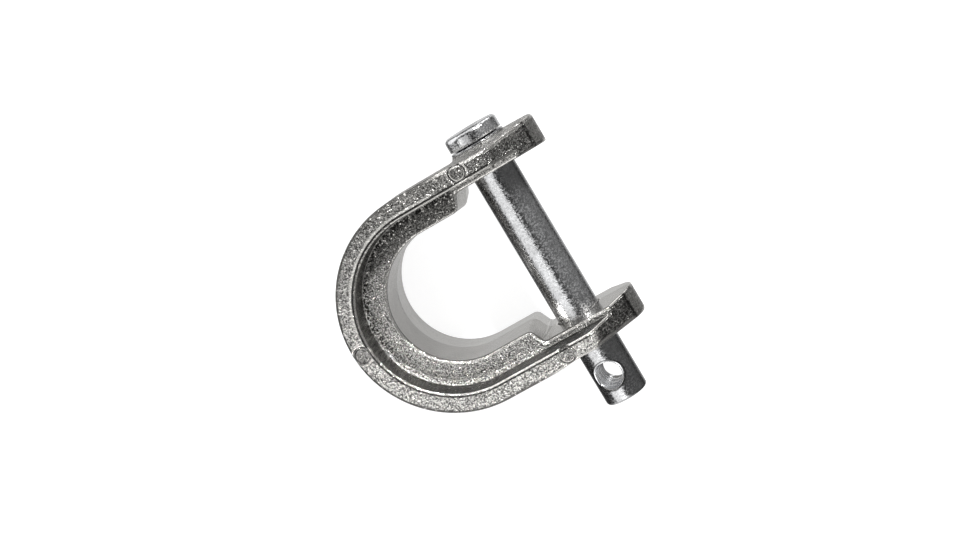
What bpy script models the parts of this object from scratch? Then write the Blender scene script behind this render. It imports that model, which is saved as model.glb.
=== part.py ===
"""Cast clevis shackle clip closed by a headed, cross-drilled clevis pin.

Metres, +Z up. The casting lies on the back of its rim. +X points from the bend to the open
ends of the ears, and +Y along the pin towards its head.
"""

from math import acos, atan2, cos, pi, radians, sin, sqrt, tan

import bmesh
import bpy
from mathutils import Vector

MM = 0.001

# Casting, in millimetres. X is measured from the centre of the rim's bend, Y from the plane
# midway between the arms, and W across the depth from the parting line.
DEPTH = 41.8
RIM_DEPTH = 8.0
RIM_INNER = 26.06
RIM_INNER_DRAFT = 0.57
RIM_OUTER_FRONT = 31.55
RIM_OUTER_MIDDLE = 30.75
RIM_OUTER_BACK = 29.5
EAR_OUTER_EDGE = 30.9
EAR_OUTER_MIDDLE = 31.8
ARM_END_X = 14.0
EAR_START_X = 23.0
EDGE_ROUND = 0.7
PAD_INNER = 19.25
PAD_CENTRE_X = 0.7
PAD_DRAFT = radians(3.2)
PAD_END_X = 12.9
PAD_END_BULGE = 1.2
LAND_START_X = 15.0
LAND_INNER = 23.8
LAND_DRAFT = 0.85
EAR_TIP_X = 41.9
EAR_NOSE_RADIUS = 11.3
EAR_SLOPE_START_X = 28.6
BEND_STEPS = 40
NOSE_STEPS = 6

# Pin, washer and their holes, in millimetres. Y as above.
PIN_X = 25.15
PIN_RADIUS = 6.35
PIN_END_Y = -50.65
PIN_END_CHAMFER = 0.9
HEAD_RADIUS = 7.97
HEAD_UNDERSIDE_Y = 32.95
HEAD_TOP_Y = 36.95
HEAD_CHAMFER = 0.8
HEAD_LOWER_CHAMFER = 0.2
EAR_HOLE_RADIUS = 6.75
SEAT_RADIUS = 8.4
WASHER_RADIUS = 8.15
WASHER_HOLE_RADIUS = 6.65
WASHER_BOTTOM_Y = 31.85
WASHER_TOP_Y = 32.5
WASHER_EDGE = 0.15
CROSS_HOLE_Y = -42.1
CROSS_HOLE_RADIUS = 3.75
CROSS_HOLE_TURN = radians(9.5)
PIN_SEGMENTS = 64

# The row's origin is the middle of the part's base.
ORIGIN_X = (EAR_TIP_X - RIM_OUTER_FRONT) / 2
ORIGIN_Y = (HEAD_TOP_Y + PIN_END_Y) / 2
CLIP_CENTRE = Vector((-ORIGIN_X, -ORIGIN_Y, DEPTH / 2)) * MM

LAND_W = DEPTH / 2 - RIM_DEPTH

# How far the cutters run past the faces and the ear tips that they cut.
PAST = 1.0
PAST_TIPS_X = EAR_TIP_X + 4


def clear_scene():
    for old in list(bpy.data.objects):
        bpy.data.objects.remove(old, do_unlink=True)


def new_collection(name):
    collection = bpy.data.collections.new(name)
    bpy.context.scene.collection.children.link(collection)
    return collection


def metal(name, colour, roughness):
    """A plain metal with one Principled shader."""
    material = bpy.data.materials.new(name)
    material.use_nodes = True
    shader = material.node_tree.nodes["Principled BSDF"]
    shader.inputs["Base Color"].default_value = (*colour, 1)
    shader.inputs["Roughness"].default_value = roughness
    shader.inputs["Metallic"].default_value = 1.0
    material.diffuse_color = (*colour, 1)
    return material


def mesh_object(name, bm, collection, origin):
    """An object from a mesh worked out in millimetres about its own origin."""
    bmesh.ops.recalc_face_normals(bm, faces=bm.faces)
    mesh = bpy.data.meshes.new(name)
    bm.to_mesh(mesh)
    bm.free()
    obj = bpy.data.objects.new(name, mesh)
    obj.location = origin
    collection.objects.link(obj)
    return obj


def loft(levels):
    """A closed solid through outlines that have the same number of points: [(w, outline), ...]."""
    bm = bmesh.new()
    rings = [[bm.verts.new(Vector((x, y, w)) * MM) for x, y in outline] for w, outline in levels]
    for lower, upper in zip(rings, rings[1:]):
        for i in range(len(lower)):
            j = (i + 1) % len(lower)
            bm.faces.new((lower[i], lower[j], upper[j], upper[i]))
    bm.faces.new(rings[0])
    bm.faces.new(rings[-1])
    return bm


def u_outline(centre_x, radius, arm_points):
    """A U open towards +X and closed across its ends: a half circle and two mirrored arms."""
    lower = [(x, -y) for x, y in reversed(arm_points)]
    bend = []
    for i in range(BEND_STEPS + 1):
        angle = -pi / 2 - pi * i / BEND_STEPS
        bend.append((centre_x + radius * cos(angle), radius * sin(angle)))
    return lower + bend + arm_points


def nose_end():
    """(x, w) where the round nose of an ear meets its slope to the rim's face."""
    centre_x = EAR_TIP_X - EAR_NOSE_RADIUS
    run = EAR_SLOPE_START_X - centre_x
    reach = sqrt(run**2 + (DEPTH / 2) ** 2)
    angle = atan2(DEPTH / 2, run) - acos(EAR_NOSE_RADIUS / reach)
    return centre_x + EAR_NOSE_RADIUS * cos(angle), EAR_NOSE_RADIUS * sin(angle)


def ear_end_x(w):
    """Where the ears end at depth w: a round nose, then straight slopes to the rim's faces."""
    nose_x, nose_w = nose_end()
    if abs(w) <= nose_w:
        return EAR_TIP_X - EAR_NOSE_RADIUS + sqrt(EAR_NOSE_RADIUS**2 - w**2)
    share = (abs(w) - nose_w) / (DEPTH / 2 - nose_w)
    return nose_x + (EAR_SLOPE_START_X - nose_x) * share


def casting_outline(w, inset):
    """The outside of the casting at depth w, with its arms tapered to the back."""
    half = DEPTH / 2
    edge = RIM_OUTER_FRONT if w > 0 else RIM_OUTER_BACK
    arm = RIM_OUTER_MIDDLE + (edge - RIM_OUTER_MIDDLE) * abs(w) / half - inset
    ear = EAR_OUTER_MIDDLE + (EAR_OUTER_EDGE - EAR_OUTER_MIDDLE) * abs(w) / half - inset
    arm_points = [(ARM_END_X, arm), (EAR_START_X, ear), (ear_end_x(w) - inset, ear)]
    return u_outline(0, arm, arm_points)


def casting_levels():
    """Outlines from the back face to the front, with a small round at both faces."""
    half = DEPTH / 2
    nose_w = nose_end()[1]
    inner = [nose_w * i / NOSE_STEPS for i in range(-NOSE_STEPS, NOSE_STEPS + 1)]
    shoulder = half - EDGE_ROUND
    bend = half - EDGE_ROUND * (1 - cos(pi / 4))
    bend_inset = EDGE_ROUND * (1 - sin(pi / 4))
    faces = [(-half, EDGE_ROUND), (-bend, bend_inset), (-shoulder, 0)]
    levels = faces + [(w, 0) for w in inner] + [(-w, inset) for w, inset in reversed(faces)]
    return [(w, casting_outline(w, inset)) for w, inset in levels]


def recess_levels(side):
    """The space inside the rim, down to the pad: side is 1 at the front and -1 at the back."""
    half = DEPTH / 2
    widths = [
        (LAND_W, RIM_INNER - RIM_INNER_DRAFT),
        (half - EDGE_ROUND, RIM_INNER),
        (half, RIM_INNER + EDGE_ROUND),
        (half + PAST, RIM_INNER + EDGE_ROUND + PAST),
    ]
    levels = [(side * w, u_outline(0, y, [(PAST_TIPS_X, y)])) for w, y in widths]
    return levels if side > 0 else levels[::-1]


def gap_levels():
    """The bore between the pads and the gap between the ear lands, waisted at the parting line."""
    levels = []
    for w in (-LAND_W - PAST, 0, LAND_W + PAST):
        share = 1 - abs(w) / LAND_W
        pad = PAD_INNER - share * LAND_W * tan(PAD_DRAFT)
        land = LAND_INNER - share * LAND_DRAFT
        bulge = share * PAD_END_BULGE
        points = [(PAD_END_X + bulge, pad), (LAND_START_X + bulge, land), (PAST_TIPS_X, land)]
        levels.append((w, u_outline(PAD_CENTRE_X, pad, points)))
    return levels


def turned(name, profile, origin, collection):
    """A solid turned about the pin's axis from (radius, y) points that run down its outside."""
    bm = bmesh.new()
    points = [bm.verts.new(Vector((radius, 0, y)) * MM) for radius, y in profile]
    for upper, lower in zip(points, points[1:]):
        bm.edges.new((upper, lower))
    mesh = bpy.data.meshes.new(name)
    bm.to_mesh(mesh)
    bm.free()
    obj = bpy.data.objects.new(name, mesh)
    obj.location = origin
    obj.rotation_euler = (-pi / 2, 0, 0)
    collection.objects.link(obj)
    screw = obj.modifiers.new("turn", "SCREW")
    screw.steps = PIN_SEGMENTS
    screw.render_steps = PIN_SEGMENTS
    weld = obj.modifiers.new("close", "WELD")
    weld.merge_threshold = 0.000001
    return obj


def rod_cutter(name, radius, length, origin, rotation, collection):
    bm = bmesh.new()
    size = {"radius1": radius * MM, "radius2": radius * MM, "depth": length * MM}
    bmesh.ops.create_cone(bm, cap_ends=True, segments=PIN_SEGMENTS, **size)
    cutter = mesh_object(name, bm, collection, origin)
    cutter.rotation_euler = rotation
    return cutter


def boolean(obj, cutter, operation="DIFFERENCE"):
    """Cut obj with a cutter, or join the cutter to it, and hide the cutter."""
    cutter.hide_render = True
    cutter.display_type = "WIRE"
    modifier = obj.modifiers.new(cutter.name, "BOOLEAN")
    modifier.operation = operation
    modifier.object = cutter


def shade(obj, degrees):
    obj.data.shade_smooth()
    obj.data.set_sharp_from_angle(angle=radians(degrees))


def build_clip_body(parts, cutters, material):
    body = mesh_object("clip_body", loft(casting_levels()), parts, CLIP_CENTRE)
    body.data.materials.append(material)
    pin_centre = CLIP_CENTRE + Vector((PIN_X, 0, 0)) * MM
    along_y = (-pi / 2, 0, 0)
    seat_length = EAR_OUTER_MIDDLE - LAND_INNER
    seat_centre = pin_centre + Vector((0, LAND_INNER + seat_length / 2, 0)) * MM
    seat = rod_cutter("head_seat", SEAT_RADIUS, seat_length, seat_centre, along_y, cutters)
    boolean(body, seat, "UNION")
    for side, word in ((1, "front"), (-1, "back")):
        recess = mesh_object("recess_" + word, loft(recess_levels(side)), cutters, CLIP_CENTRE)
        boolean(body, recess)
    boolean(body, mesh_object("bore_and_gap", loft(gap_levels()), cutters, CLIP_CENTRE))
    hole = rod_cutter("ear_holes", EAR_HOLE_RADIUS, 4 * EAR_OUTER_MIDDLE, pin_centre, along_y, cutters)
    boolean(body, hole)
    shade(body, 30)
    return body


def build_washer(parts, material):
    """A narrow flat ring: its profile is closed, so the first point comes again at the end."""
    top = WASHER_TOP_Y - WASHER_BOTTOM_Y
    profile = [
        (WASHER_HOLE_RADIUS, top),
        (WASHER_RADIUS - WASHER_EDGE, top),
        (WASHER_RADIUS, top - WASHER_EDGE),
        (WASHER_RADIUS, WASHER_EDGE),
        (WASHER_RADIUS - WASHER_EDGE, 0),
        (WASHER_HOLE_RADIUS, 0),
        (WASHER_HOLE_RADIUS, top),
    ]
    origin = CLIP_CENTRE + Vector((PIN_X, WASHER_BOTTOM_Y, 0)) * MM
    washer = turned("head_washer", profile, origin, parts)
    washer.data.materials.append(material)
    return washer


def build_pin(parts, cutters, material):
    """The pin's origin is on its axis under the head."""
    head = HEAD_TOP_Y - HEAD_UNDERSIDE_Y
    end = PIN_END_Y - HEAD_UNDERSIDE_Y
    profile = [
        (0, head),
        (HEAD_RADIUS - HEAD_CHAMFER, head),
        (HEAD_RADIUS, head - HEAD_CHAMFER),
        (HEAD_RADIUS, HEAD_LOWER_CHAMFER),
        (HEAD_RADIUS - HEAD_LOWER_CHAMFER, 0),
        (PIN_RADIUS, 0),
        (PIN_RADIUS, end + PIN_END_CHAMFER),
        (PIN_RADIUS - PIN_END_CHAMFER, end),
        (0, end),
    ]
    origin = CLIP_CENTRE + Vector((PIN_X, HEAD_UNDERSIDE_Y, 0)) * MM
    pin = turned("clevis_pin", profile, origin, parts)
    pin.data.materials.append(material)
    hole_centre = CLIP_CENTRE + Vector((PIN_X, CROSS_HOLE_Y, 0)) * MM
    turn = (0, -CROSS_HOLE_TURN, 0)
    hole = rod_cutter("cross_hole", CROSS_HOLE_RADIUS, 4 * PIN_RADIUS, hole_centre, turn, cutters)
    boolean(pin, hole)
    return pin


def main():
    clear_scene()
    parts = new_collection("clevis_shackle_clip")
    cutters = new_collection("cutters")
    casting = metal("cast_metal", (0.36, 0.355, 0.34), 0.5)
    plated = metal("plated_steel", (0.55, 0.56, 0.56), 0.3)
    build_clip_body(parts, cutters, casting)
    build_washer(parts, plated)
    build_pin(parts, cutters, plated)


main()
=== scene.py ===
"""Looks of the clevis shackle clip: cast body, plated clevis pin and washer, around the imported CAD."""

from math import cos, pi, radians, sin, tan
from types import SimpleNamespace

import bmesh
import bpy
import numpy as np
from mathutils import Matrix, Vector


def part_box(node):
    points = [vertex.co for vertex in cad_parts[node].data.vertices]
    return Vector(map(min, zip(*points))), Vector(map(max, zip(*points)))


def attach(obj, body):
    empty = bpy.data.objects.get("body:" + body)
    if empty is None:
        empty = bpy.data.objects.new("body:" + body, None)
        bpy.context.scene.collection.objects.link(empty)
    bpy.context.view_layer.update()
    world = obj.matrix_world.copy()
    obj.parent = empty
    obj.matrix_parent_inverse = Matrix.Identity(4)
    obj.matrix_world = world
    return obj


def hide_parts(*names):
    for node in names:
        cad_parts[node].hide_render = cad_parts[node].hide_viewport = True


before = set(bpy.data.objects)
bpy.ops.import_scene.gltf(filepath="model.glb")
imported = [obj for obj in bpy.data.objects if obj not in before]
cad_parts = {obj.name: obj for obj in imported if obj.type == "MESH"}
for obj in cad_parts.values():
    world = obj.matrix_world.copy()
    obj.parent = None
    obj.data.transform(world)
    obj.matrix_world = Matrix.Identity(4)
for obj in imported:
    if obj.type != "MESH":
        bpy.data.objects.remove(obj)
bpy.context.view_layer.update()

MM = 0.001

# Casting, in millimetres. X is measured from the centre of the rim's bend, Y from the plane
# midway between the arms, and W across the depth from the parting line.
BODY_LOW, BODY_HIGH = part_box("clip_body")
DEPTH = (BODY_HIGH.z - BODY_LOW.z) / MM
HALF = DEPTH / 2
RIM_OUTER_FRONT = 31.55
RIM_OUTER_MIDDLE = 30.75
RIM_OUTER_BACK = 29.5
EAR_OUTER_EDGE = 30.9
EAR_OUTER_MIDDLE = 31.8
ARM_END_X = 14.0
EAR_START_X = 23.0
RIM_INNER = 26.06
RIM_INNER_DRAFT = 0.57
RIM_STEP = 8.0
LAND_W = HALF - RIM_STEP
PAD_INNER = 19.25
PAD_CENTRE_X = 0.7
PAD_DRAFT = radians(3.2)
PAD_END_X = 12.9
LAND_START_X = 15.0
PAD_END_BULGE = 1.2
LAND_INNER = 23.8
LAND_DRAFT = 0.85
EAR_TIP_X = 41.9
EAR_NOSE_RADIUS = 11.3
EAR_SLOPE_START_X = 28.6
SEAT_RADIUS = 8.4
EAR_HOLE_RADIUS = 6.75
LAND_BEHIND_X = 5
CLIP_CENTRE = Vector((BODY_LOW.x + RIM_OUTER_FRONT * MM, (BODY_LOW.y + BODY_HIGH.y) / 2, DEPTH / 2 * MM))

# Rounded edges and fillets of the casting, in millimetres.
RIM_EDGE_ROUND = 0.7
EAR_END_ROUND = 1.1
SEAT_EDGE_ROUND = 0.2
SEAT_FILLET = 0.5
PAD_END_ROUND = 1.2
PAD_EDGE_ROUND = 0.5
LAND_EDGE_ROUND = 0.6
PAD_LAND_FILLET = 0.7
STEP_FILLET = 0.6
STEP_FILLET_EXTRA = 0.6
INNER_EDGE_ROUND = 0.4
EAR_HOLE_ROUND = 0.4

# Ejector marks on the front face of the rim: (X, Y) of each, in millimetres.
EJECTOR_MARKS = [(19.7, 29.0), (-29.0, -1.2), (20.1, -28.4)]
EJECTOR_RADIUS = 2.35
EJECTOR_RING_DEPTH = 0.30
EJECTOR_RING_WIDTH = 0.26
EJECTOR_DISC_DEPTH = 0.10

# Pin and washer, in millimetres, Y as above.
PIN_X = 25.15
PIN_RADIUS = 6.35
PIN_END_Y = -50.65
HEAD_RADIUS = 7.97
HEAD_UNDERSIDE_Y = 32.95
HEAD_TOP_Y = 36.95
WASHER_RADIUS = 8.15
WASHER_HOLE_RADIUS = 6.65
WASHER_BOTTOM_Y = 31.85
WASHER_TOP_Y = 32.5
CROSS_HOLE_Y = -42.1
CROSS_HOLE_RADIUS = 3.75
RIB_DEPTH = 0.18
RIB_PITCH = 2.8
CROSS_HOLE_TURN = radians(9.5)
CROSS_HOLE_ROUND = 0.75
HEAD_ROUND = 1.3
HEAD_LOWER_ROUND = 0.25
PIN_END_ROUND = 1.0
WASHER_ROUND = 0.14
WASHER_SEGMENTS = 160
WASHER_CORNER_STEPS = 3

# Voxel size of the two sculpted pieces, in millimetres.
VOXEL = 0.36


# ---- signed distances, negative inside the metal ----


def fillet_join(a, b, radius):
    """Joins two solids with a round fillet where they meet."""
    corner = np.hypot(np.maximum(radius - a, 0), np.maximum(radius - b, 0))
    return np.maximum(radius, np.minimum(a, b)) - corner


def round_overlap(a, b, radius):
    """What two solids share, with its new edge rounded."""
    corner = np.hypot(np.maximum(radius + a, 0), np.maximum(radius + b, 0))
    return np.minimum(-radius, np.maximum(a, b)) + corner


def smoothstep(low, high, value):
    share = np.clip((value - low) / (high - low), 0, 1)
    return share * share * (3 - 2 * share)


def arm_distance(x, y, centre_x):
    """Distance from the middle line of a U: a half circle about centre_x, then straight arms."""
    return np.where(x < centre_x, np.hypot(x - centre_x, y), np.abs(y))


def ear_profile(x, w):
    """The ears' ends seen along the pin: a round nose and slopes to the rim's faces."""
    centre_x = EAR_TIP_X - EAR_NOSE_RADIUS
    run, reach = EAR_SLOPE_START_X - centre_x, np.hypot(EAR_SLOPE_START_X - centre_x, HALF)
    angle = np.arctan2(HALF, run) - np.arccos(EAR_NOSE_RADIUS / reach)
    slope = (x - centre_x) * cos(angle) + np.abs(w) * sin(angle) - EAR_NOSE_RADIUS
    nose = np.hypot(np.maximum(x - centre_x, 0), w) - EAR_NOSE_RADIUS
    return np.where(np.arctan2(np.abs(w), x - centre_x) < angle, nose, slope)


def clip_field(points):
    """The casting: its outside, and inside it the rim's wall, the pad and the ears' lands."""
    x, y, w = points.T
    depth = np.abs(w)
    share = depth / HALF
    edge = np.where(w > 0, RIM_OUTER_FRONT, RIM_OUTER_BACK)
    arm = RIM_OUTER_MIDDLE + (edge - RIM_OUTER_MIDDLE) * share
    ear = EAR_OUTER_MIDDLE + (EAR_OUTER_EDGE - EAR_OUTER_MIDDLE) * share
    outside = arm + (ear - arm) * smoothstep(ARM_END_X, EAR_START_X, x)
    rim_line = arm_distance(x, y, 0)
    outer = round_overlap(rim_line - outside, depth - HALF, RIM_EDGE_ROUND)
    outer = round_overlap(outer, ear_profile(x, w), EAR_END_ROUND)
    seat_wall = np.hypot(x - PIN_X, w) - SEAT_RADIUS
    seat = round_overlap(seat_wall, y - EAR_OUTER_MIDDLE, SEAT_EDGE_ROUND)
    outer = fillet_join(outer, np.maximum(seat, LAND_INNER - y), SEAT_FILLET)
    outer = np.maximum(outer, y - EAR_OUTER_MIDDLE)

    step_share = np.clip((depth - LAND_W) / RIM_STEP, 0, 1)
    rim = RIM_INNER - RIM_INNER_DRAFT * (1 - step_share) - rim_line
    waist = 1 - np.clip(depth / LAND_W, 0, 1)
    pad_inner = PAD_INNER - waist * LAND_W * tan(PAD_DRAFT)
    pad_line = arm_distance(x, y, PAD_CENTRE_X)
    pad_end_x = PAD_END_X + waist * PAD_END_BULGE
    end_run, end_rise = LAND_START_X - PAD_END_X, LAND_INNER - PAD_INNER
    end_length = np.hypot(end_run, end_rise)
    pad_end = ((x - pad_end_x) * end_rise - (np.abs(y) - PAD_INNER) * end_run) / end_length
    pad = round_overlap(pad_inner - pad_line, pad_end, PAD_END_ROUND)
    pad = round_overlap(pad, depth - LAND_W, PAD_EDGE_ROUND)
    land_inner = LAND_INNER - waist * LAND_DRAFT
    land = round_overlap(land_inner - np.abs(y), depth - LAND_W, LAND_EDGE_ROUND)
    land = np.maximum(land, LAND_BEHIND_X - x)
    step_fillet = STEP_FILLET + STEP_FILLET_EXTRA * smoothstep(4, -12, y) * smoothstep(16, 9, x)
    inner = fillet_join(rim, fillet_join(pad, land, PAD_LAND_FILLET), step_fillet)
    solid = round_overlap(inner, outer, INNER_EDGE_ROUND)
    solid = round_overlap(solid, EAR_HOLE_RADIUS - np.hypot(x - PIN_X, w), EAR_HOLE_ROUND)
    return solid + ejector_depth(x, y, w)


def ejector_depth(x, y, w):
    """How deep the round ejector marks are pressed into the front face of the rim."""
    depth = np.zeros_like(x)
    for mark_x, mark_y in EJECTOR_MARKS:
        radius = np.hypot(x - mark_x, y - mark_y)
        ring = EJECTOR_RING_DEPTH * np.exp(-(((radius - EJECTOR_RADIUS) / EJECTOR_RING_WIDTH) ** 2))
        inside = EJECTOR_DISC_DEPTH * smoothstep(EJECTOR_RADIUS + 0.2, EJECTOR_RADIUS - 0.2, radius)
        depth = np.maximum(depth, ring + inside)
    return depth * smoothstep(HALF - 0.7, HALF - 0.25, w)


def pin_field(points):
    """The headed pin with its cross hole."""
    x, y, w = points.T
    across = x - PIN_X
    radius = np.hypot(across, w)
    shank = round_overlap(radius - PIN_RADIUS, PIN_END_Y - y, PIN_END_ROUND)
    shank = np.maximum(shank, y - HEAD_TOP_Y + 0.5)
    head_middle, head_half = (HEAD_TOP_Y + HEAD_UNDERSIDE_Y) / 2, (HEAD_TOP_Y - HEAD_UNDERSIDE_Y) / 2
    top = round_overlap(radius - HEAD_RADIUS, y - HEAD_TOP_Y, HEAD_ROUND)
    head = round_overlap(top, HEAD_UNDERSIDE_Y - y, HEAD_LOWER_ROUND)
    solid = np.minimum(shank, np.where(np.abs(y - head_middle) < head_half + 1, head, 1))
    hole_across = across * cos(CROSS_HOLE_TURN) + w * sin(CROSS_HOLE_TURN)
    hole_along = w * cos(CROSS_HOLE_TURN) - across * sin(CROSS_HOLE_TURN)
    ribs = RIB_DEPTH * np.cos(2 * pi * hole_along / RIB_PITCH)
    hole = np.hypot(hole_across, y - CROSS_HOLE_Y) - CROSS_HOLE_RADIUS - ribs
    return round_overlap(solid, -hole, CROSS_HOLE_ROUND)


# ---- meshes ----


def gradient(field, points):
    step = 0.01
    columns = []
    for axis in range(3):
        shift = np.zeros(3)
        shift[axis] = step
        columns.append((field(points + shift) - field(points - shift)) / (2 * step))
    return np.stack(columns, axis=1)


def onto_surface(field, points, rounds):
    """Moves the points along the gradient until they lie on the field's surface."""
    for _ in range(rounds):
        slope = gradient(field, points)
        size = np.maximum((slope**2).sum(axis=1), 0.05)
        move = slope * (field(points) / size)[:, None]
        length = np.linalg.norm(move, axis=1)[:, None]
        points = points - move * np.minimum(1, 0.5 / np.maximum(length, 1e-9))
    return points


def relax(points, edges):
    """Each point halfway towards the middle of its neighbours."""
    total = np.zeros_like(points)
    count = np.zeros(len(points))
    for a, b in ((0, 1), (1, 0)):
        np.add.at(total, edges[:, a], points[edges[:, b]])
        np.add.at(count, edges[:, a], 1)
    return points * 0.5 + total / np.maximum(count, 1)[:, None] * 0.5


def refine(mesh, is_near, cuts):
    """Smaller faces wherever the middle of an edge, in the clip's millimetres, is near a detail."""
    bm = bmesh.new()
    bm.from_mesh(mesh)
    near = []
    for edge in bm.edges:
        middle = ((edge.verts[0].co + edge.verts[1].co) / 2 - CLIP_CENTRE) / MM
        if is_near(middle):
            near.append(edge)
    bmesh.ops.subdivide_edges(bm, edges=near, cuts=cuts, use_grid_fill=True)
    bmesh.ops.triangulate(bm, faces=[face for face in bm.faces if len(face.verts) > 4])
    bm.to_mesh(mesh)
    bm.free()


def near_mark(point):
    if point.z < HALF - 0.8:
        return False
    return any((point.xy - Vector(mark)).length < EJECTOR_RADIUS + 0.7 for mark in EJECTOR_MARKS)


def near_cross_hole(point):
    along_pin, across_pin = abs(point.y - CROSS_HOLE_Y), abs(point.x - PIN_X)
    return along_pin < CROSS_HOLE_RADIUS + 1 and across_pin < CROSS_HOLE_RADIUS + 2


def sculpt(name, node, field, is_near, cuts):
    """A dense skin over a CAD node, drawn onto the smooth surface that field describes."""
    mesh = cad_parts[node].data.copy()
    rough = bpy.data.objects.new(name + "_rough", mesh)
    bpy.context.scene.collection.objects.link(rough)
    remesh = rough.modifiers.new("voxels", "REMESH")
    remesh.mode = "VOXEL"
    remesh.voxel_size = VOXEL * MM
    graph = bpy.context.evaluated_depsgraph_get()
    skin = bpy.data.meshes.new_from_object(rough.evaluated_get(graph))
    bpy.data.objects.remove(rough)
    skin.materials.clear()
    refine(skin, is_near, cuts)
    points = np.empty(len(skin.vertices) * 3)
    skin.vertices.foreach_get("co", points)
    points = (points.reshape(-1, 3) - CLIP_CENTRE) / MM
    edges = np.empty(len(skin.edges) * 2, dtype=np.int64)
    skin.edges.foreach_get("vertices", edges)
    edges = edges.reshape(-1, 2)
    points = onto_surface(field, points, 6)
    for _ in range(4):
        points = onto_surface(field, relax(points, edges), 2)
    points = onto_surface(field, points, 3)
    skin.vertices.foreach_set("co", ((points * MM) + np.array(CLIP_CENTRE)).ravel())
    skin.shade_smooth()
    skin.update()
    skin.name = name
    obj = bpy.data.objects.new(name, skin)
    bpy.context.scene.collection.objects.link(obj)
    normals = gradient(field, points)
    normals /= np.maximum(np.linalg.norm(normals, axis=1), 1e-9)[:, None]
    bulge = ((points - relax(points, edges)) * normals).sum(axis=1) / mean_edge(points, edges) ** 2
    return obj, points, normals, bulge


def mean_edge(points, edges):
    """The mean length of the edges at each point."""
    length = np.linalg.norm(points[edges[:, 0]] - points[edges[:, 1]], axis=1)
    total, count = np.zeros(len(points)), np.zeros(len(points))
    for side in (0, 1):
        np.add.at(total, edges[:, side], length)
        np.add.at(count, edges[:, side], 1)
    return total / np.maximum(count, 1)


def turned_ring(name, profile, centre, segments):
    """A closed (radius, y) profile turned about the pin's axis."""
    bm = bmesh.new()
    rings = []
    for i in range(segments):
        angle = 2 * pi * i / segments
        around = [Vector((r * cos(angle), y, r * sin(angle))) for r, y in profile]
        rings.append([bm.verts.new(centre + point * MM) for point in around])
    for i, ring in enumerate(rings):
        after = rings[(i + 1) % segments]
        for j in range(len(profile)):
            k = (j + 1) % len(profile)
            bm.faces.new((ring[j], ring[k], after[k], after[j]))
    bmesh.ops.recalc_face_normals(bm, faces=bm.faces)
    mesh = bpy.data.meshes.new(name)
    bm.to_mesh(mesh)
    bm.free()
    mesh.shade_smooth()
    mesh.set_sharp_from_angle(angle=radians(50))
    obj = bpy.data.objects.new(name, mesh)
    bpy.context.scene.collection.objects.link(obj)
    return obj


def paint(obj, name, *channels):
    """Stores up to four 0 to 1 values for each vertex as a colour attribute."""
    values = np.ones((len(obj.data.vertices), 4), dtype=np.float32)
    for i, channel in enumerate(channels):
        values[:, i] = np.clip(channel, 0, 1)
    attribute = obj.data.attributes.new(name, "FLOAT_COLOR", "POINT")
    attribute.data.foreach_set("color", values.ravel())


# ---- materials ----

# Full height of the grain in the casting and of the frosting on the plated steel, in metres.
CAST_RELIEF = 0.00042
PLATE_RELIEF = 0.00005


def node(tree, kind, inputs=None, **settings):
    """Adds a shader node; inputs are sockets to link or values to set."""
    made = tree.nodes.new(kind)
    for key, value in settings.items():
        setattr(made, key, value)
    for key, value in (inputs or {}).items():
        if isinstance(value, bpy.types.NodeSocket):
            tree.links.new(value, made.inputs[key])
        else:
            made.inputs[key].default_value = value
    return made


def maths(tree, operation, a, b=0.0, clamp=False):
    return node(tree, "ShaderNodeMath", {0: a, 1: b}, operation=operation, use_clamp=clamp).outputs[0]


def ramp(tree, value, low, high, to_low=0.0, to_high=1.0):
    """value from low to high mapped smoothly to to_low to to_high."""
    inputs = {"Value": value, "From Min": low, "From Max": high, "To Min": to_low, "To Max": to_high}
    return node(tree, "ShaderNodeMapRange", inputs, interpolation_type="SMOOTHSTEP").outputs[0]


def noise(tree, vector, scale, detail=2.0, roughness=0.5):
    inputs = {"Vector": vector, "Scale": scale, "Detail": detail, "Roughness": roughness}
    return node(tree, "ShaderNodeTexNoise", inputs).outputs[0]


def blend(tree, share, a, b):
    """From a to b, both single values."""
    return node(tree, "ShaderNodeMix", {0: share, 2: a, 3: b}, data_type="FLOAT").outputs[0]


def band(tree, value, middle, half_width, softness):
    """1 where value is within half_width of middle, fading to 0 over softness."""
    away = maths(tree, "ABSOLUTE", maths(tree, "SUBTRACT", value, middle))
    return ramp(tree, away, half_width, half_width + softness, 1.0, 0.0)


def product(tree, *values):
    total = values[0]
    for value in values[1:]:
        total = maths(tree, "MULTIPLY", total, value)
    return total


def tinted(tree, value, warmth):
    """A colour of that brightness, warmer by that share of it."""
    red = maths(tree, "MULTIPLY", value, 1 + warmth)
    blue = maths(tree, "MULTIPLY", value, 1 - 2 * warmth)
    return node(tree, "ShaderNodeCombineColor", {0: red, 1: value, 2: blue}).outputs[0]


def cells(tree, vector, scale):
    """A random value in each of many small cells."""
    inputs = {"Vector": vector, "Scale": scale}
    colour = node(tree, "ShaderNodeTexVoronoi", inputs).outputs["Color"]
    return node(tree, "ShaderNodeSeparateColor", {"Color": colour}).outputs[0]


def new_metal(name):
    """A material with a metallic Principled shader, its node tree and its shader node."""
    material = bpy.data.materials.new(name)
    material.use_nodes = True
    shader = material.node_tree.nodes["Principled BSDF"]
    shader.inputs["Metallic"].default_value = 1.0
    return material, material.node_tree, shader


def add_bump(tree, shader, height, relief):
    """Bumps the surface by height, where 1 stands relief metres proud."""
    bump = node(tree, "ShaderNodeBump", {"Height": height, "Strength": 1.0, "Distance": relief})
    tree.links.new(bump.outputs["Normal"], shader.inputs["Normal"])


def clip_axes(tree, place):
    """The shaded point's X, Y and W in the clip's millimetres."""
    inputs = {"Vector": place, "Location": -CLIP_CENTRE / MM, "Scale": (1 / MM, 1 / MM, 1 / MM)}
    moved = node(tree, "ShaderNodeMapping", inputs).outputs[0]
    return node(tree, "ShaderNodeSeparateXYZ", {0: moved}).outputs


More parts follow.
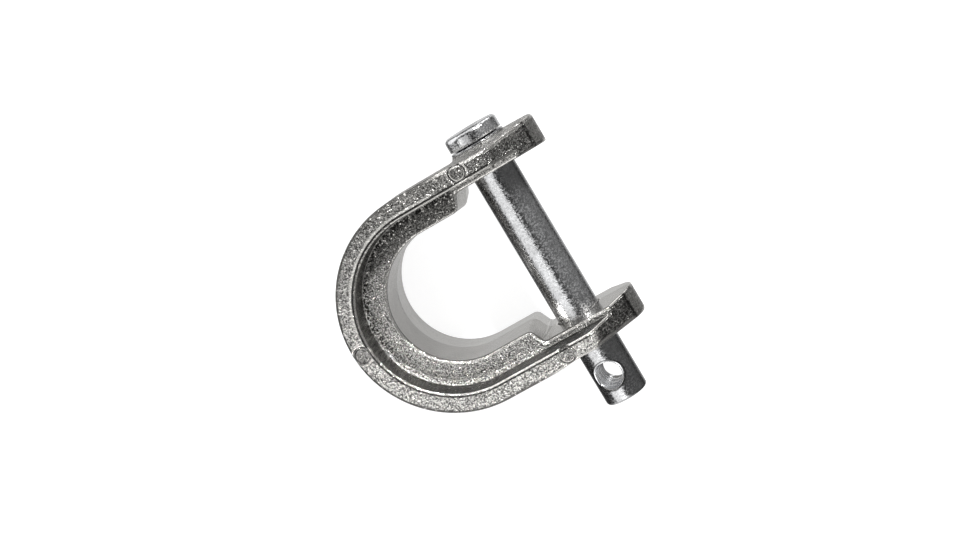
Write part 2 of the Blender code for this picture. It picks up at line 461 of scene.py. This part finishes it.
def mark_distance(tree, x, y):
    """How far the shaded point is from the middle of the nearest ejector mark."""
    flat = node(tree, "ShaderNodeCombineXYZ", {0: x, 1: y}).outputs[0]
    nearest = 100.0
    for mark_x, mark_y in EJECTOR_MARKS:
        inputs = {0: flat, 1: (mark_x, mark_y, 0)}
        away = node(tree, "ShaderNodeVectorMath", inputs, operation="DISTANCE").outputs["Value"]
        nearest = maths(tree, "MINIMUM", away, nearest)
    return nearest


def casting_masks(tree, place, x, y, w):
    """Where the casting's zones, edges, lines and marks are, as values from 0 to 1."""
    zones = node(tree, "ShaderNodeAttribute", attribute_name="zones").outputs["Color"]
    grain, wall, slope = node(tree, "ShaderNodeSeparateColor", {"Color": zones}).outputs
    rims = node(tree, "ShaderNodeAttribute", attribute_name="edges").outputs["Color"]
    edge, fillet, wall_shade = node(tree, "ShaderNodeSeparateColor", {"Color": rims}).outputs
    bend = node(tree, "ShaderNodeCombineXYZ", {0: maths(tree, "MINIMUM", x, 0.0), 1: y}).outputs[0]
    rim_line = node(tree, "ShaderNodeVectorMath", {0: bend}, operation="LENGTH").outputs["Value"]
    depth = maths(tree, "ABSOLUTE", w)
    mark = mark_distance(tree, x, y)
    on_face = ramp(tree, depth, HALF - 0.35, HALF - 0.15)
    on_front = ramp(tree, w, HALF - 1.0, HALF - 0.6)
    broken = ramp(tree, noise(tree, place, 700, 1, 0.5), 0.36, 0.56, 0.25, 1.0)
    bore = maths(tree, "SUBTRACT", maths(tree, "SUBTRACT", 1.0, grain), wall, clamp=True)
    inside = ramp(tree, rim_line, RIM_INNER - 0.3, RIM_INNER + 0.1, 1.0, 0.0)
    upper_bend = product(tree, ramp(tree, y, 0.0, 10.0), ramp(tree, x, 6.0, 14.0, 1.0, 0.0))
    fillet_highlight_reach = product(tree, ramp(tree, y, -14.0, 4.0, 1.0, 0.0), ramp(tree, x, 11.0, 16.0, 1.0, 0.25))
    near_parting = product(tree, band(tree, w, 0.7, 0.2, 0.5), band(tree, y, 3.5, 2.0, 1.5))
    nick_reach = product(tree, near_parting, ramp(tree, x, -16.0, -14.5, 1.0, 0.0))
    nick_spots = ramp(tree, noise(tree, place, 1900, 0, 0.5), 0.54, 0.66)
    return SimpleNamespace(
        depth=depth,
        grain=grain,
        wall=wall,
        slope=slope,
        edge=edge,
        fillet=fillet,
        wall_shade=wall_shade,
        fillet_highlight=product(tree, fillet, fillet_highlight_reach),
        # Painted shade in the groove of each ejector mark; the groove itself is also pressed into the mesh.
        ring=product(tree, band(tree, mark, EJECTOR_RADIUS - 0.05, 0.12, 0.22), on_front, broken, 0.75),
        mark_highlight=product(tree, band(tree, mark, EJECTOR_RADIUS + 0.5, 0.10, 0.22), on_front),
        disc=product(tree, ramp(tree, mark, EJECTOR_RADIUS - 0.5, EJECTOR_RADIUS, 1.0, 0.0), on_front),
        edge_line=product(tree, band(tree, rim_line, RIM_INNER + 0.70, 0.20, 0.14), on_face),
        rim_highlight=product(tree, band(tree, rim_line, RIM_INNER + 1.3, 0.15, 0.35), on_face, upper_bend, 0.5),
        # Painted highlight: a lighter strip at the ears' tips, with a painted dark line of shade just before
        # it.
        tip=product(tree, ramp(tree, x, 39.6, 40.3), slope),
        tip_line=product(tree, band(tree, x, 39.5, 0.1, 0.6), slope, broken),
        strip=product(tree, band(tree, depth, LAND_W, 0.35, 0.2), ramp(tree, x, 13.5, 15.0), inside),
        outer_edge=product(tree, ramp(tree, rim_line, 28.4, 29.4), ramp(tree, x, 10.0, 17.0, 1.0, 0.0)),
        under_edge=product(tree, band(tree, depth, LAND_W - 0.75, 0.12, 0.15), bore),
        parting=product(tree, band(tree, w, 0.0, 0.07, 0.12), bore, ramp(tree, x, 10.0, 13.0, 1.0, 0.0)),
        nicks=product(tree, bore, nick_reach, nick_spots),
    )


def casting_textures(tree, place):
    """The grain of the blasted faces and the marks that the die left along its draw."""
    coarse = noise(tree, place, 2400, 1.0, 0.5)
    crystal = cells(tree, place, 2500)
    stretched = node(tree, "ShaderNodeMapping", {"Vector": place, "Scale": (1.0, 1.0, 0.03)}).outputs[0]
    draw_marks = noise(tree, stretched, 2500, 2, 0.6)
    clusters = ramp(tree, coarse, 0.42, 0.58, 0.0, 0.5)
    return SimpleNamespace(
        coarse=coarse,
        crystal=crystal,
        draw_marks=draw_marks,
        fine=noise(tree, place, 6000, 1, 0.5),
        blotch=noise(tree, place, 170, 3, 0.5),
        speckle=maths(tree, "ADD", maths(tree, "MULTIPLY", crystal, 0.5), clusters),
        pits=ramp(tree, noise(tree, place, 1500, 1.0, 0.5), 0.46, 0.52),
        streak=ramp(tree, draw_marks, 0.38, 0.62),
        teeth=ramp(tree, noise(tree, stretched, 2000, 1, 0.5), 0.42, 0.54),
    )


def grain_tone_and_shade(tree, y, depth):
    """How bright the grain is: one tone on the sides, and on the faces painted shade that deepens along Y and
    on the recessed faces inside the rim.
    """
    normal = node(tree, "ShaderNodeTexCoord").outputs["Normal"]
    upright = node(tree, "ShaderNodeSeparateXYZ", {0: normal}).outputs[2]
    facing = ramp(tree, maths(tree, "ABSOLUTE", upright), 0.4, 0.8)
    # Painted shade: the faces darken towards +Y, and the recessed faces inside the rim are darker still.
    along = ramp(tree, y, -8.0, 34.0, 1.0, 0.36)
    return blend(tree, facing, 0.92, maths(tree, "MULTIPLY", along, ramp(tree, depth, 13.5, 14.5, 0.84, 1.0)))


def casting_brightness(tree, x, y, mask, texture, glint):
    """The casting's brightness: its zones, then its edges, and last the dark lines on it; much of it is
    painted shade and painted highlight.
    """
    tone = grain_tone_and_shade(tree, y, mask.depth)
    dark = maths(tree, "MULTIPLY", tone, blend(tree, texture.blotch, 0.02, 0.12))
    value = blend(tree, maths(tree, "POWER", texture.speckle, 1.2), dark, tone)
    # Painted shade: a dark, pitted strip on the pad next to the rim's wall.
    value = blend(tree, product(tree, mask.wall_shade, texture.pits, 0.95), value, 0.012)
    # Painted shade: the satin of the bore and lands darkens towards -X.
    satin = product(tree, blend(tree, texture.blotch, 0.56, 0.70), ramp(tree, x, -22.0, 4.0, 0.76, 1.02))
    value = blend(tree, mask.grain, satin, value)
    # Painted shade: the walls' draw marks darken towards -Y.
    draw = product(tree, blend(tree, texture.streak, 0.08, 0.25), ramp(tree, y, -28.0, -4.0, 0.24, 1.1))
    value = blend(tree, mask.wall, value, draw)
    # Painted light: the ears' dark sloping faces grow lighter towards +Y.
    sloping = blend(tree, maths(tree, "POWER", texture.speckle, 2.5), 0.05, 0.85)
    value = blend(tree, mask.slope, value, product(tree, sloping, ramp(tree, y, -30.0, 25.0, 0.50, 0.85)))
    value = blend(tree, mask.tip, value, blend(tree, texture.speckle, 0.14, 0.58))
    value = blend(tree, product(tree, mask.disc, 0.6), value, blend(tree, texture.speckle, 0.02, 0.30))
    # Painted highlight on the land's front edge towards +Y, painted shade on it towards -Y.
    strip = product(tree, blend(tree, texture.streak, 0.12, 0.95), ramp(tree, y, -5.0, 5.0, 0.14, 0.75))
    value = blend(tree, mask.strip, value, strip)
    # Painted highlight on the rounded edges, and painted shade on the outer edges of the bend.
    value = blend(tree, mask.edge, value, blend(tree, mask.outer_edge, 0.80, 0.15))
    # Painted highlight: a bright serrated line along the fillet at the foot of the rim's wall.
    value = blend(tree, mask.fillet_highlight, value, blend(tree, texture.teeth, 0.22, 1.0))
    # Painted highlight: a light band beside the rim's inner edge on the upper bend.
    value = blend(tree, mask.rim_highlight, value, 0.92)
    # Painted highlight: a bright ring just outside each ejector mark.
    value = blend(tree, mask.mark_highlight, value, 0.92)
    value = blend(tree, glint, value, 0.95)
    value = blend(tree, product(tree, mask.nicks, 0.6), value, 0.04)
    value = blend(tree, product(tree, mask.parting, 0.4), value, 0.10)
    # Painted shade: dark lines in the ejector grooves, beside the rim's inner edge, before the ears' tips and
    # under the land's edge in the bore.
    for line in (mask.ring, mask.edge_line, mask.tip_line, mask.under_edge):
        value = blend(tree, product(tree, line, 0.9), value, 0.015)
    return value


def casting_height(tree, mask, texture):
    """The casting's relief: grain on the blasted faces, draw marks on the walls and fillets."""
    drawn = product(tree, maths(tree, "MAXIMUM", mask.wall, mask.fillet), 0.45)
    cast = maths(tree, "SUBTRACT", mask.grain, product(tree, mask.edge, 0.7), clamp=True)
    cast = product(tree, cast, blend(tree, mask.slope, 1.0, 0.55))
    height = product(tree, maths(tree, "ADD", texture.coarse, product(tree, texture.fine, 0.3)), cast)
    height = maths(tree, "ADD", height, product(tree, texture.draw_marks, drawn))
    return maths(tree, "ADD", height, product(tree, texture.fine, 0.05))


def cast_metal():
    """Blasted die casting: coarse grain on its faces, satin in the bore, draw marks on the walls."""
    material, tree, shader = new_metal("cast_metal")
    place = node(tree, "ShaderNodeTexCoord").outputs["Object"]
    x, y, w = clip_axes(tree, place)
    mask = casting_masks(tree, place, x, y, w)
    texture = casting_textures(tree, place)
    # Painted glints: the brightest crystals of the grain are painted near white.
    glint = product(tree, ramp(tree, texture.crystal, 0.93, 0.95), mask.grain, 0.8)
    value = casting_brightness(tree, x, y, mask, texture, glint)
    tree.links.new(tinted(tree, value, 0.02), shader.inputs["Base Color"])

    rough = blend(tree, mask.grain, 0.26, blend(tree, texture.speckle, 0.52, 0.28))
    polish = mask.edge
    for bright in (mask.fillet_highlight, mask.mark_highlight, glint):
        polish = maths(tree, "MAXIMUM", polish, bright)
    tree.links.new(blend(tree, polish, rough, 0.15), shader.inputs["Roughness"])
    add_bump(tree, shader, casting_height(tree, mask, texture), CAST_RELIEF)
    return material


def plated_steel():
    """Bright zinc plate with fine turning marks and a little frosting, with painted shade near the ears, a
    head painted lighter and a cross hole painted light.
    """
    material, tree, shader = new_metal("plated_steel")
    place = node(tree, "ShaderNodeTexCoord").outputs["Object"]
    frost = noise(tree, place, 1900, 1.5, 0.6)
    blotch = noise(tree, place, 220, 3, 0.55)
    around = node(tree, "ShaderNodeMapping", {"Vector": place, "Scale": (0.05, 1.0, 0.05)}).outputs[0]
    turning = noise(tree, around, 3500, 2, 0.6)
    x, y, w = clip_axes(tree, place)
    aside = maths(tree, "SUBTRACT", x, PIN_X)
    hole_across = maths(tree, "MULTIPLY", aside, cos(CROSS_HOLE_TURN))
    hole_across = maths(tree, "ADD", hole_across, maths(tree, "MULTIPLY", w, sin(CROSS_HOLE_TURN)))
    hole_place = {0: hole_across, 1: maths(tree, "SUBTRACT", y, CROSS_HOLE_Y)}
    hole_flat = node(tree, "ShaderNodeCombineXYZ", hole_place).outputs[0]
    from_hole = node(tree, "ShaderNodeVectorMath", {0: hole_flat}, operation="LENGTH").outputs["Value"]
    lit_hole = ramp(tree, from_hole, CROSS_HOLE_RADIUS + 0.45, CROSS_HOLE_RADIUS + 0.6, 1.0, 0.0)
    hole_edge_shade = band(tree, from_hole, CROSS_HOLE_RADIUS + 0.8, 0.08, 0.18)
    speckle = blend(tree, 0.5, cells(tree, place, 2700), ramp(tree, frost, 0.38, 0.62))
    plate = blend(tree, speckle, 0.40, 0.80)
    # Painted shade on the pin's sides near the upper ear and on its end below the lower ear.
    ear_shade = maths(tree, "ADD", ramp(tree, y, 8.0, 19.0), ramp(tree, y, -34.0, -30.0, 1.0, 0.0), clamp=True)
    sides = maths(tree, "ADD", ramp(tree, aside, 0.0, 2.0), ramp(tree, aside, -4.2, -3.4, 1.0, 0.0))
    ear_shade = product(tree, ear_shade, ramp(tree, y, 29.0, 31.0, 1.0, 0.0), sides, 0.66)
    plate = blend(tree, ear_shade, plate, 0.10)
    # Painted light: the head's plate brighter, with a painted darker band down its middle.
    on_head = ramp(tree, y, HEAD_UNDERSIDE_Y - 0.1, HEAD_UNDERSIDE_Y + 0.1)
    head_light = blend(tree, band(tree, aside, 0.2, 1.6, 1.6), 1.5, 0.70)
    plate = maths(tree, "MINIMUM", maths(tree, "MULTIPLY", plate, blend(tree, on_head, 1.0, head_light)), 0.95)
    plate = maths(tree, "MULTIPLY", plate, ramp(tree, blotch, 0.35, 0.7, 0.92, 1.06))
    # Painted light: the inside of the cross hole is painted near white.
    value = blend(tree, lit_hole, plate, 0.96)
    # Painted shade: a dark line round the cross hole's rounded edge.
    value = blend(tree, maths(tree, "MULTIPLY", hole_edge_shade, 0.8), value, 0.03)
    tree.links.new(tinted(tree, value, -0.006), shader.inputs["Base Color"])
    rough = ramp(tree, frost, 0.40, 0.62, 0.09, 0.34)
    tree.links.new(blend(tree, lit_hole, rough, 0.12), shader.inputs["Roughness"])
    height = maths(tree, "ADD", frost, maths(tree, "MULTIPLY", turning, 0.25))
    add_bump(tree, shader, height, PLATE_RELIEF)
    return material


# ---- pieces ----


def casting_zones(points, normals):
    """Where the casting is grainy, where its walls carry draw marks, and where the ears slope."""
    x, y, w = points.T
    facing = smoothstep(0.45, 0.8, np.abs(normals[:, 2]))
    rim_line = arm_distance(x, y, 0)
    pad_line = arm_distance(x, y, PAD_CENTRE_X)
    inside_step = np.abs(w) < LAND_W - 0.3
    bore = inside_step & (pad_line < PAD_INNER + 0.4) & (x < LAND_START_X)
    land = inside_step & (np.abs(y) < LAND_INNER + 0.4) & (x > PAD_END_X - 0.5)
    step_wall = (np.abs(w) > LAND_W) & (rim_line < RIM_INNER + 0.3) & (rim_line > RIM_INNER - 1.6)
    satin = (bore | land) * (1 - facing)
    wall = step_wall * (1 - facing)
    slope = smoothstep(0.3, 0.6, normals[:, 0]) * smoothstep(EAR_SLOPE_START_X, EAR_SLOPE_START_X + 2, x)
    grain = 1 - np.maximum(satin, wall)
    return grain, wall, slope


def casting_edges(points, bulge):
    """Rounded outer edges, hollow fillets, and the strip of the pad next to the rim's wall, where shade is
    painted.
    """
    x, y, w = points.T
    outer = smoothstep(0.05, 0.13, bulge)
    hollow = smoothstep(-0.03, -0.08, bulge)
    wall_line = RIM_INNER - RIM_INNER_DRAFT - arm_distance(x, y, 0)
    wall_shade = smoothstep(3.4, 0.8, wall_line) * (np.abs(np.abs(w) - LAND_W) < 0.3) * (wall_line > -0.5)
    wall_shade *= smoothstep(-26, -6, y)
    return outer, hollow, wall_shade


def build_clip():
    body, points, normals, bulge = sculpt("clip_casting", "clip_body", clip_field, near_mark, 2)
    paint(body, "zones", *casting_zones(points, normals))
    paint(body, "edges", *casting_edges(points, bulge))
    body.data.materials.append(cast_metal())
    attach(body, "body")
    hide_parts("clip_body")


def build_pin(material):
    pin = sculpt("pin_forging", "clevis_pin", pin_field, near_cross_hole, 1)[0]
    pin.data.materials.append(material)
    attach(pin, "pin")
    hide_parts("clevis_pin")


def build_washer(material):
    """A thin ring whose four edges are rounded."""
    edge = WASHER_ROUND
    profile = []
    corners = [
        (WASHER_RADIUS - edge, WASHER_TOP_Y - edge, 0.5),
        (WASHER_RADIUS - edge, WASHER_BOTTOM_Y + edge, 0.0),
        (WASHER_HOLE_RADIUS + edge, WASHER_BOTTOM_Y + edge, -0.5),
        (WASHER_HOLE_RADIUS + edge, WASHER_TOP_Y - edge, -1.0),
    ]
    for centre_r, centre_y, start in corners:
        for i in range(WASHER_CORNER_STEPS + 1):
            angle = pi * (start - i / (2 * WASHER_CORNER_STEPS))
            profile.append((centre_r + edge * cos(angle), centre_y + edge * sin(angle)))
    centre = Vector((CLIP_CENTRE.x + PIN_X * MM, CLIP_CENTRE.y, CLIP_CENTRE.z))
    washer = turned_ring("head_ring", profile, centre, WASHER_SEGMENTS)
    washer.data.materials.append(material)
    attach(washer, "washer")
    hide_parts("head_washer")


# ---- stage, light and camera ----


FLOOR_SIZE = 6
FLOOR_BELOW = 0.0002


def build_floor():
    bpy.ops.mesh.primitive_plane_add(size=FLOOR_SIZE, location=(0, 0, -FLOOR_BELOW))
    floor = bpy.context.object
    floor.name = "floor"
    material = bpy.data.materials.new("floor_white")
    material.use_nodes = True
    shader = material.node_tree.nodes["Principled BSDF"]
    shader.inputs["Base Color"].default_value = (0.3, 0.3, 0.3, 1)
    shader.inputs["Roughness"].default_value = 1.0
    shader.inputs["Specular IOR Level"].default_value = 0.0
    shader.inputs["Emission Color"].default_value = (1, 1, 1, 1)
    shader.inputs["Emission Strength"].default_value = 0.92
    floor.data.materials.append(material)
    floor.visible_glossy = False


# Soft panels of the studio: direction towards each, half width and softness in degrees, brightness.
PANELS = [
    ((-0.70, -0.40, 1.0), 28, 3, 1.25),
    ((-0.14, -0.63, 1.0), 18, 4, 1.5),
    ((-0.90, 0.50, -0.10), 30, 4, 1.0),
    ((0.94, -0.12, 0.34), 48, 18, 0.16),
    ((-0.15, 0.95, 0.27), 25, 6, 1.8),
    ((0.50, 0.76, -0.42), 16, 6, 1.6),
    ((-0.35, -0.94, -0.02), 38, 12, 0.8),
    ((0.0, 0.0, -1.0), 30, 14, 0.60),
]
AMBIENT = 0.08

# The key light: direction towards it, strength and angular width in degrees.
KEY_AIM = (1.0, 1.1, 1.0)
KEY_STRENGTH = 3.7
KEY_WIDTH = 6.0


def build_key():
    data = bpy.data.lights.new("key", "SUN")
    data.energy = KEY_STRENGTH
    data.angle = radians(KEY_WIDTH)
    key = bpy.data.objects.new("key", data)
    bpy.context.scene.collection.objects.link(key)
    key.rotation_mode = "QUATERNION"
    key.rotation_quaternion = Vector(KEY_AIM).to_track_quat("Z", "Y")


def build_world():
    world = bpy.data.worlds.new("studio")
    bpy.context.scene.world = world
    world.use_nodes = True
    tree = world.node_tree
    direction = node(tree, "ShaderNodeTexCoord").outputs["Generated"]
    total = AMBIENT
    for aim, half_width, softness, brightness in PANELS:
        inputs = {0: direction, 1: Vector(aim).normalized()}
        dot = node(tree, "ShaderNodeVectorMath", inputs, operation="DOT_PRODUCT").outputs["Value"]
        outer, inner = cos(radians(half_width + softness)), cos(radians(half_width - softness))
        total = maths(tree, "ADD", ramp(tree, dot, outer, inner, 0.0, brightness), total)
    grey = node(tree, "ShaderNodeCombineColor", {0: total, 1: total, 2: total}).outputs[0]
    tree.links.new(grey, tree.nodes["Background"].inputs["Color"])


# The camera: how far its axis leans to X and to Y, its roll in radians, its place from the middle
# of the rim's front face in millimetres, and its focal length.
CAMERA_TILT = (0.2126, 0.1289)
CAMERA_ROLL = -0.5428
CAMERA_PLACE = (111.2, 60.5, 461.7)
CAMERA_LENS = 65.25


def build_camera():
    """The camera looks down on the rim's front face, tilted and rolled as the photograph shows."""
    back = Vector((*CAMERA_TILT, 1)).normalized()
    level = Vector((0, 1, 0)).cross(back).normalized()
    upright = back.cross(level)
    right = level * cos(CAMERA_ROLL) + upright * sin(CAMERA_ROLL)
    up = upright * cos(CAMERA_ROLL) - level * sin(CAMERA_ROLL)
    data = bpy.data.cameras.new("camera")
    data.lens = CAMERA_LENS
    data.clip_start = 0.01
    camera = bpy.data.objects.new("camera", data)
    bpy.context.scene.collection.objects.link(camera)
    place = CLIP_CENTRE + Vector((CAMERA_PLACE[0], CAMERA_PLACE[1], CAMERA_PLACE[2] + HALF)) * MM
    camera.matrix_world = Matrix.Translation(place) @ Matrix((right, up, back)).transposed().to_4x4()
    bpy.context.scene.camera = camera


def main():
    plated = plated_steel()
    build_clip()
    build_pin(plated)
    build_washer(plated)
    build_floor()
    build_world()
    build_key()
    build_camera()
    scene = bpy.context.scene
    scene.view_settings.view_transform = "Standard"
    scene.view_settings.look = "None"


main()
